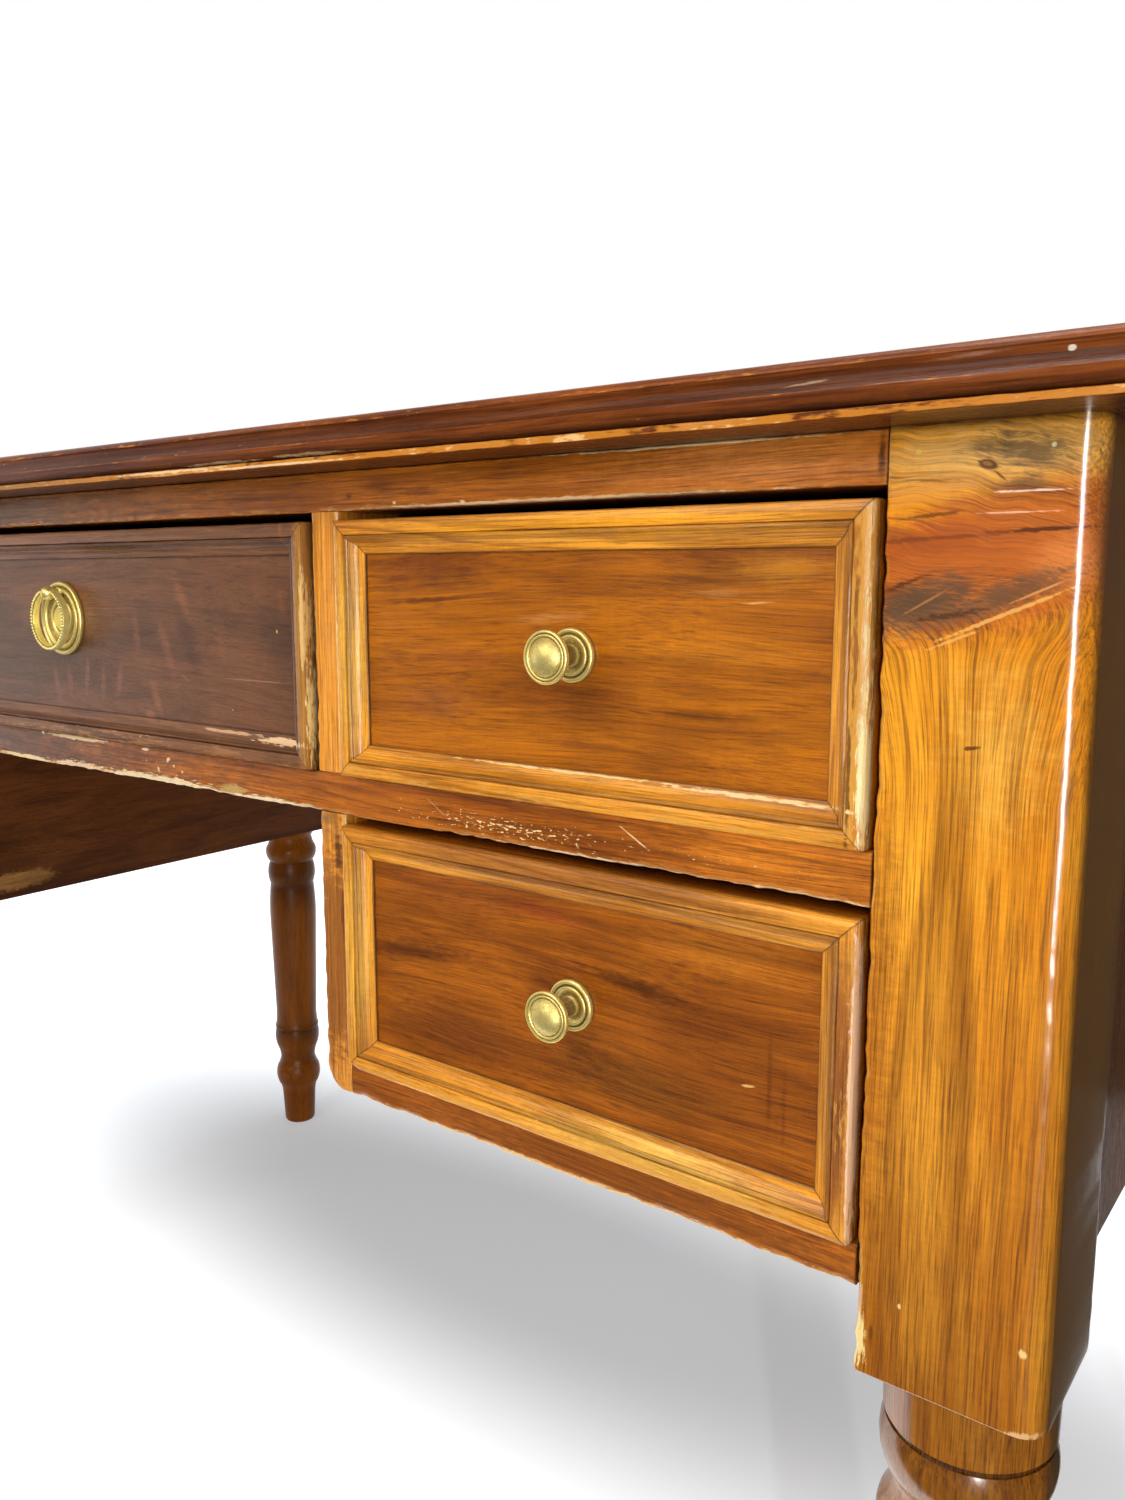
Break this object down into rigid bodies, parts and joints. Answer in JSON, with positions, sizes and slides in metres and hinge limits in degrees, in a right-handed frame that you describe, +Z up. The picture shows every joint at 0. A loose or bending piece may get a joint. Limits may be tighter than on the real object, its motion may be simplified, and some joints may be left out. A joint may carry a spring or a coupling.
{
  "type": "twin-pedestal writing desk with drawers",
  "caption": "Stained softwood kneehole writing desk with turned legs, moulded drawer fronts, turned brass knobs and a brass ring pull",
  "frame": {"origin": "on the floor under the middle of the desk", "axes": "+X along the front to the sitter's right, +Y from the front to the back, +Z up"},
  "size_m": [1.16, 0.678, 0.766],
  "materials": {
    "stained_wood": "stained and varnished softwood, worn",
    "drawer_veneer": "dark figured board, stained and varnished",
    "honey_pine": "honey coloured varnished moulding, worn edges",
    "bare_pine": "bare aged pine",
    "aged_brass": "polished brass with aged recesses"
  },
  "bodies": {
    "case": {"top_board": "stained_wood", "top_edge_front": "stained_wood", "top_edge_back": "stained_wood", "top_edge_left": "stained_wood", "top_edge_right": "stained_wood", "leg_front_left": "stained_wood", "leg_front_right": "stained_wood", "leg_back_left": "stained_wood", "leg_back_right": "stained_wood", "front_top_rail": "stained_wood", "front_mid_rail": "stained_wood", "back_boards": "stained_wood", "slim_runners": "bare_pine", "guided_runners": "bare_pine", "bottom_rail_left": "stained_wood", "upper_stile_left": "stained_wood", "lower_stile_left": "stained_wood", "side_panel_left": "stained_wood", "inner_panel_left": "stained_wood", "bottom_rail_right": "stained_wood", "upper_stile_right": "stained_wood", "lower_stile_right": "stained_wood", "side_panel_right": "stained_wood", "inner_panel_right": "stained_wood"},
    "drawer_middle": {"drawer_middle_front": "drawer_veneer", "drawer_middle_moulding": "honey_pine", "drawer_middle_sides": "bare_pine", "drawer_middle_back": "bare_pine", "drawer_middle_bottom": "bare_pine", "ring_pull_plate": "aged_brass", "ring_pull_post": "aged_brass"},
    "drawer_upper_left": {"drawer_upper_left_front": "drawer_veneer", "drawer_upper_left_moulding": "honey_pine", "drawer_upper_left_sides": "bare_pine", "drawer_upper_left_back": "bare_pine", "drawer_upper_left_bottom": "bare_pine", "knob_upper_left": "aged_brass", "knob_plate_upper_left": "aged_brass"},
    "drawer_upper_right": {"drawer_upper_right_front": "drawer_veneer", "drawer_upper_right_moulding": "honey_pine", "drawer_upper_right_sides": "bare_pine", "drawer_upper_right_back": "bare_pine", "drawer_upper_right_bottom": "bare_pine", "knob_upper_right": "aged_brass", "knob_plate_upper_right": "aged_brass"},
    "drawer_lower_left": {"drawer_lower_left_front": "drawer_veneer", "drawer_lower_left_moulding": "honey_pine", "drawer_lower_left_sides": "bare_pine", "drawer_lower_left_back": "bare_pine", "drawer_lower_left_bottom": "bare_pine", "knob_lower_left": "aged_brass", "knob_plate_lower_left": "aged_brass"},
    "drawer_lower_right": {"drawer_lower_right_front": "drawer_veneer", "drawer_lower_right_moulding": "honey_pine", "drawer_lower_right_sides": "bare_pine", "drawer_lower_right_back": "bare_pine", "drawer_lower_right_bottom": "bare_pine", "knob_lower_right": "aged_brass", "knob_plate_lower_right": "aged_brass"},
    "pull_ring": {"ring_pull_ring": "aged_brass"}
  },
  "joints": [
    {"name": "middle_drawer_slide", "type": "slide", "parent": "case", "child": "drawer_middle", "axis": [0, -1, 0], "range_m": [0, 0.34]},
    {"name": "upper_left_drawer_slide", "type": "slide", "parent": "case", "child": "drawer_upper_left", "axis": [0, -1, 0], "range_m": [0, 0.34]},
    {"name": "upper_right_drawer_slide", "type": "slide", "parent": "case", "child": "drawer_upper_right", "axis": [0, -1, 0], "range_m": [0, 0.34]},
    {"name": "lower_left_drawer_slide", "type": "slide", "parent": "case", "child": "drawer_lower_left", "axis": [0, -1, 0], "range_m": [0, 0.34]},
    {"name": "lower_right_drawer_slide", "type": "slide", "parent": "case", "child": "drawer_lower_right", "axis": [0, -1, 0], "range_m": [0, 0.34]},
    {"name": "ring_pull_hinge", "type": "hinge", "parent": "drawer_middle", "child": "pull_ring", "pos_m": [0, -0.3155, 0.69266], "axis": [-1, 0, 0], "range_deg": [0, 95]}
  ]
}
